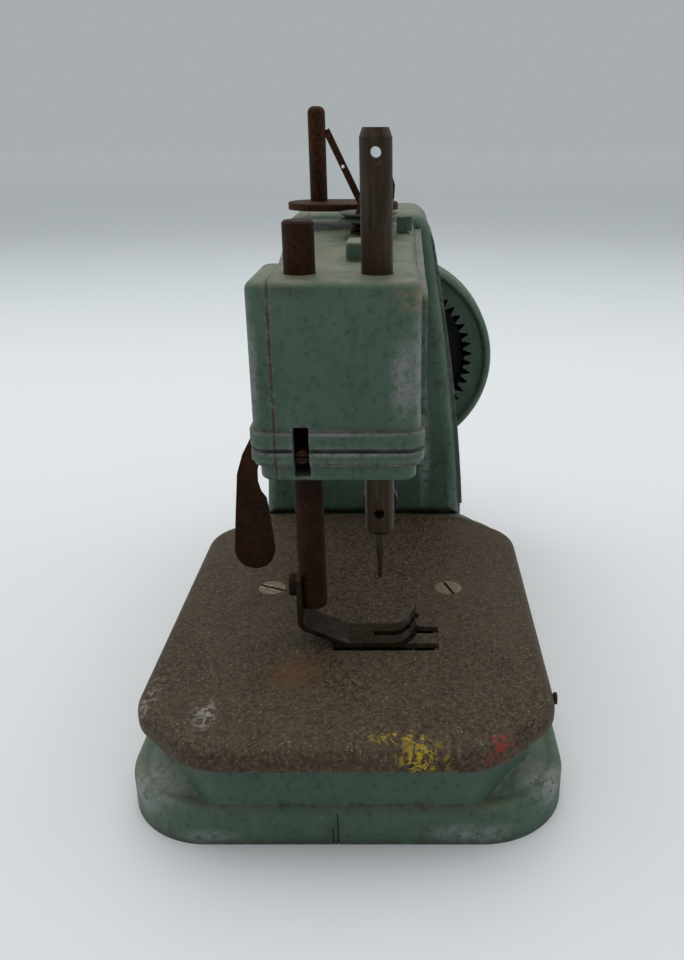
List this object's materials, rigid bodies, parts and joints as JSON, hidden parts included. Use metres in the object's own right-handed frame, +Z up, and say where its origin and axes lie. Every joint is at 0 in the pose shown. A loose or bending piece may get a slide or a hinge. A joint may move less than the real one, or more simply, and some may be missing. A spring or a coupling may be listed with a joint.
{
  "type": "sewing machine",
  "caption": "Miniature hand-cranked chain-stitch sewing machine: cast arm and base, steel bed, needle and presser bars, spool pin and an internally toothed hand wheel.",
  "frame": {"origin": "middle of the machine's footprint on the table", "axes": "+X runs along the arm from the needle head to the hand wheel, +Y to the back, away from the person who sews, +Z up"},
  "size_m": [0.206, 0.102, 0.1544],
  "materials": {
    "green_paint": "worn satin",
    "brown_hammer": "hammered satin",
    "brass": "aged",
    "dull_steel": "dull",
    "rusty_steel": "rusted",
    "worn_steel": "tarnished",
    "dark_knob": "satin"
  },
  "bodies": {
    "frame": {"base_casting": "green_paint", "bed_plate": "brown_hammer", "bed_screws": "brass", "bed_side_screw": "dull_steel", "body_casting": "green_paint", "rear_cover": "green_paint", "cover_screws": "dull_steel", "body_bolts": "dull_steel", "wheel_axle": "dull_steel", "axle_washers": "dull_steel", "axle_screw": "dull_steel", "shaft_bushes": "brass", "idler_pins": "dull_steel", "lever_pivot_pin": "dull_steel", "presser_spring": "dull_steel", "lifter_pivot_screw": "dull_steel", "feed_rod": "dull_steel", "spool_bracket": "rusty_steel", "spool_spacer": "dull_steel", "spool_screw": "dull_steel", "spool_pin": "rusty_steel", "tension_stud": "dull_steel", "tension_spring": "rusty_steel", "tension_discs": "worn_steel", "thread_strip": "rusty_steel", "bow_spring": "rusty_steel", "thread_guide_tab": "dull_steel"},
    "wheel": {"hand_wheel": "green_paint", "crank_stud": "dull_steel"},
    "knob": {"crank_knob": "dark_knob"},
    "upper_shaft_group": {"upper_shaft": "dull_steel", "pinion": "dull_steel", "shaft_gear": "dull_steel", "shaft_collar": "dull_steel", "crank_disc": "dull_steel", "crank_pin": "dull_steel"},
    "upper_idler_gear": {"upper_idler": "dull_steel"},
    "lower_idler_gear": {"lower_idler": "dull_steel"},
    "looper_group": {"looper_shaft": "dull_steel", "looper_gear": "dull_steel", "looper": "dull_steel", "feed_cam": "dull_steel"},
    "carrier": {"feed_carrier": "dull_steel", "feed_guide_pins": "dull_steel"},
    "dog": {"feed_dog": "dull_steel"},
    "lever": {"needle_lever": "dull_steel", "lever_yoke": "dull_steel", "yoke_rivets": "dull_steel"},
    "needle_group": {"needle_bar": "worn_steel", "needle_bar_collar": "dull_steel", "needle": "worn_steel"},
    "clamp": {"needle_clamp_screw": "dull_steel"},
    "presser": {"presser_bar": "rusty_steel", "lift_collar": "dull_steel", "presser_guide_screw": "dull_steel", "presser_foot": "worn_steel", "foot_screw": "dull_steel"},
    "lifter": {"lifter_lever": "rusty_steel"},
    "nut": {"tension_nut": "rusty_steel"}
  },
  "joints": [
    {"name": "wheel_turn", "type": "hinge", "parent": "frame", "child": "wheel", "pos_m": [0.07, -0.0088, 0.07], "axis": [1, 0, 0], "continuous": true},
    {"name": "knob_spin", "type": "hinge", "parent": "wheel", "child": "knob", "pos_m": [0.09, -0.0088, 0.044], "axis": [1, 0, 0], "continuous": true},
    {"name": "upper_shaft_turn", "type": "hinge", "parent": "frame", "child": "upper_shaft_group", "pos_m": [0.052, -0.0088, 0.0909], "axis": [1, 0, 0], "continuous": true},
    {"name": "upper_idler_turn", "type": "hinge", "parent": "frame", "child": "upper_idler_gear", "pos_m": [0.0465, -0.0007, 0.06725], "axis": [1, 0, 0], "continuous": true},
    {"name": "lower_idler_turn", "type": "hinge", "parent": "frame", "child": "lower_idler_gear", "pos_m": [0.0465, -0.0007, 0.03725], "axis": [1, 0, 0], "continuous": true},
    {"name": "looper_turn", "type": "hinge", "parent": "frame", "child": "looper_group", "pos_m": [-0.003, -0.0088, 0.0136], "axis": [1, 0, 0], "continuous": true},
    {"name": "feed_travel", "type": "slide", "parent": "frame", "child": "carrier", "axis": [0, 1, 0], "range_m": [-0.0014, 0.0014]},
    {"name": "feed_lift", "type": "slide", "parent": "carrier", "child": "dog", "axis": [0, 0, 1], "range_m": [0, 0.0012]},
    {"name": "lever_rock", "type": "hinge", "parent": "frame", "child": "lever", "pos_m": [-0.003, -0.0002, 0.0995], "axis": [0, -1, 0], "range_deg": [0, 24.4]},
    {"name": "needle_stroke", "type": "slide", "parent": "frame", "child": "needle_group", "axis": [0, 0, -1], "range_m": [0, 0.0241]},
    {"name": "clamp_screw_turn", "type": "hinge", "parent": "needle_group", "child": "clamp", "pos_m": [-0.053, -0.0074, 0.064], "axis": [1, 0, 0], "range_deg": [-180, 0]},
    {"name": "lifter_swing", "type": "hinge", "parent": "frame", "child": "lifter", "pos_m": [-0.0528, 0.0118, 0.0845], "axis": [1, 0, 0], "range_deg": [0, 80]},
    {"name": "presser_lift", "type": "slide", "parent": "frame", "child": "presser", "axis": [0, 0, 1], "range_m": [0, 0.00451], "deforming": ["presser_spring"]},
    {"name": "tension_nut_turn", "type": "hinge", "parent": "frame", "child": "nut", "pos_m": [-0.007, -0.0037, 0.13], "axis": [0, 0, 1], "range_deg": [-180, 180]}
  ],
  "couplings": [
    {"joint": "upper_shaft_turn", "follows": "wheel_turn", "ratio": 4.1667},
    {"joint": "upper_idler_turn", "follows": "wheel_turn", "ratio": -2.7778},
    {"joint": "lower_idler_turn", "follows": "wheel_turn", "ratio": 2.7778},
    {"joint": "looper_turn", "follows": "wheel_turn", "ratio": -4.1667},
    {"joint": "needle_stroke", "follows": "lever_rock", "m_per_rad": 0.056354},
    {"joint": "presser_lift", "follows": "lifter_swing", "m_per_rad": 0.0032229}
  ]
}
